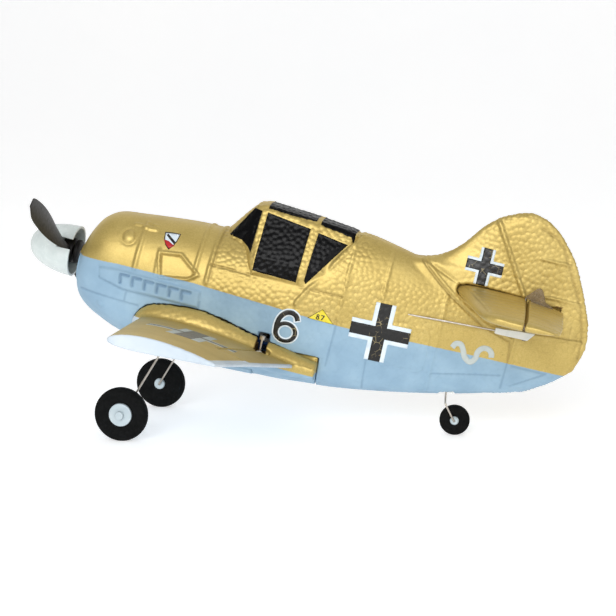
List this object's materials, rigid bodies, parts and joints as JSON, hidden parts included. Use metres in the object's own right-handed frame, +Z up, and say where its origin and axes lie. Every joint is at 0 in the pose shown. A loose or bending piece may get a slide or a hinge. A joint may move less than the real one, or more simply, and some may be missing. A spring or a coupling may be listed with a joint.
{
  "type": "rc warbird plane",
  "caption": "Small foam radio-controlled low-wing fighter with a geared propeller, moving ailerons and elevator, and fixed wheeled landing gear.",
  "frame": {"origin": "centre of the footprint on the ground, with the model standing on its three wheels", "axes": "+X towards the tail, +Y to starboard, +Z up; the thrust line is tipped 12.6 degrees nose up in this stance"},
  "size_m": [0.2962, 0.31, 0.1253],
  "materials": {
    "painted_foam": "metallic gold over pale blue paint on moulded bead foam",
    "canopy_paint": "glossy black paint on bead foam",
    "decal_black": "thin glossy film",
    "decal_white": "thin glossy film",
    "decal_yellow": "thin glossy film",
    "decal_red": "thin glossy film",
    "spinner_plastic": "satin off-white moulded plastic",
    "prop_plastic": "black nylon",
    "tyre_foam": "black foam rubber",
    "hub_plastic": "pale grey-white moulded plastic",
    "steel_wire": "drawn steel wire",
    "white_plastic": "natural white nylon",
    "clear_plastic": "translucent sheet",
    "gearbox_plastic": "black glass-filled nylon",
    "brass_gear": "machined",
    "motor_can": "plated steel",
    "servo_case": "translucent blue moulding",
    "circuit_board": "green solder mask",
    "battery_wrap": "silver pouch",
    "lead_insulation": "silicone insulation"
  },
  "bodies": {
    "airframe": {"fuselage_left": "painted_foam", "fuselage_right": "painted_foam", "wing": "painted_foam", "tailplane": "painted_foam", "wheel_cap_left": "hub_plastic", "wheel_cap_right": "hub_plastic", "gear_leg_left": "steel_wire", "gear_leg_right": "steel_wire", "tail_gear_wire": "steel_wire", "front_bearing": "steel_wire", "rear_bearing": "steel_wire", "gear_block_left": "white_plastic", "gear_block_right": "white_plastic", "tail_gear_block": "white_plastic", "nose_plate": "white_plastic", "pushrod_guide": "clear_plastic", "gearbox_frame": "gearbox_plastic", "motor": "motor_can", "elevator_servo": "servo_case", "aileron_servo": "servo_case", "receiver_board": "circuit_board", "battery": "battery_wrap", "motor_lead": "lead_insulation", "battery_lead": "lead_insulation"},
    "propeller_drive": {"spinner": "spinner_plastic", "propeller": "prop_plastic", "prop_adapter": "prop_plastic", "prop_nut": "steel_wire", "prop_shaft": "steel_wire", "spur_gear": "white_plastic"},
    "motor_rotor": {"motor_pinion": "brass_gear"},
    "left_aileron": {"aileron_left": "painted_foam", "aileron_torque_rod_left": "steel_wire"},
    "right_aileron": {"aileron_right": "painted_foam", "aileron_torque_rod_right": "steel_wire"},
    "left_aileron_link": {"aileron_link_left": "white_plastic"},
    "right_aileron_link": {"aileron_link_right": "white_plastic"},
    "aileron_arm": {"aileron_servo_arm": "white_plastic"},
    "elevators": {"elevator": "painted_foam", "elevator_horn": "clear_plastic"},
    "pushrod": {"elevator_pushrod": "steel_wire", "elevator_clevis": "white_plastic"},
    "elevator_arm": {"elevator_servo_arm": "white_plastic"},
    "left_wheel": {"main_tyre_left": "tyre_foam", "main_hub_left": "hub_plastic"},
    "right_wheel": {"main_tyre_right": "tyre_foam", "main_hub_right": "hub_plastic"},
    "tail_wheel": {"tail_tyre": "tyre_foam", "tail_hub": "hub_plastic"},
    "hatch": {"battery_hatch": "painted_foam"}
  },
  "joints": [
    {"name": "propeller_spin", "type": "hinge", "parent": "airframe", "child": "propeller_drive", "pos_m": [-0.12315, 0, 0.093], "axis": [0.9759, 0, -0.2181], "continuous": true},
    {"name": "motor_spin", "type": "hinge", "parent": "airframe", "child": "motor_rotor", "pos_m": [-0.09633, 0, 0.07548], "axis": [0.9759, 0, -0.2181], "continuous": true},
    {"name": "aileron_left_hinge", "type": "hinge", "parent": "airframe", "child": "left_aileron", "pos_m": [-0.01821, -0.033, 0.04628], "axis": [-0.1088, -0.9784, 0.1755], "range_deg": [-20, 20]},
    {"name": "aileron_right_hinge", "type": "hinge", "parent": "airframe", "child": "right_aileron", "pos_m": [-0.01821, 0.033, 0.04628], "axis": [-0.1088, 0.9784, 0.1755], "range_deg": [-20, 20]},
    {"name": "aileron_link_left_slide", "type": "slide", "parent": "airframe", "child": "left_aileron_link", "axis": [0.9759, 0, -0.2181], "range_m": [-0.0026, 0.0026]},
    {"name": "aileron_link_right_slide", "type": "slide", "parent": "airframe", "child": "right_aileron_link", "axis": [0.9759, 0, -0.2181], "range_m": [-0.0026, 0.0026]},
    {"name": "aileron_servo_turn", "type": "hinge", "parent": "airframe", "child": "aileron_arm", "pos_m": [-0.03176, 0, 0.0572], "axis": [0.2181, 0, 0.9759], "range_deg": [-15, 15]},
    {"name": "elevator_hinge", "type": "hinge", "parent": "airframe", "child": "elevators", "pos_m": [0.11555, 0, 0.06987], "axis": [0, -1, 0], "range_deg": [-12, 12]},
    {"name": "pushrod_slide", "type": "slide", "parent": "airframe", "child": "pushrod", "axis": [0.9875, 0, -0.1573], "range_m": [-0.0031, 0.0031]},
    {"name": "elevator_servo_turn", "type": "hinge", "parent": "airframe", "child": "elevator_arm", "pos_m": [0.0148, -0.011, 0.0638], "axis": [0, 1, 0], "range_deg": [-20, 20]},
    {"name": "main_wheel_left_spin", "type": "hinge", "parent": "airframe", "child": "left_wheel", "pos_m": [-0.08837, -0.03945, 0.01391], "axis": [0, 1, 0], "continuous": true},
    {"name": "main_wheel_right_spin", "type": "hinge", "parent": "airframe", "child": "right_wheel", "pos_m": [-0.08837, 0.03945, 0.01391], "axis": [0, 1, 0], "continuous": true},
    {"name": "tail_wheel_spin", "type": "hinge", "parent": "airframe", "child": "tail_wheel", "pos_m": [0.08028, 0, 0.00787], "axis": [0, 1, 0], "continuous": true},
    {"name": "hatch_lift", "type": "slide", "parent": "airframe", "child": "hatch", "axis": [-0.2181, 0, -0.9759], "range_m": [0, 0.012]}
  ],
  "couplings": [
    {"joint": "motor_spin", "follows": "propeller_spin", "ratio": -4},
    {"joint": "aileron_right_hinge", "follows": "aileron_left_hinge", "ratio": 1},
    {"joint": "aileron_link_left_slide", "follows": "aileron_left_hinge", "m_per_rad": -0.0065},
    {"joint": "aileron_link_right_slide", "follows": "aileron_left_hinge", "m_per_rad": 0.0065},
    {"joint": "aileron_servo_turn", "follows": "aileron_left_hinge", "ratio": -0.722},
    {"joint": "pushrod_slide", "follows": "elevator_hinge", "m_per_rad": 0.01386},
    {"joint": "elevator_servo_turn", "follows": "elevator_hinge", "ratio": 1.6}
  ]
}
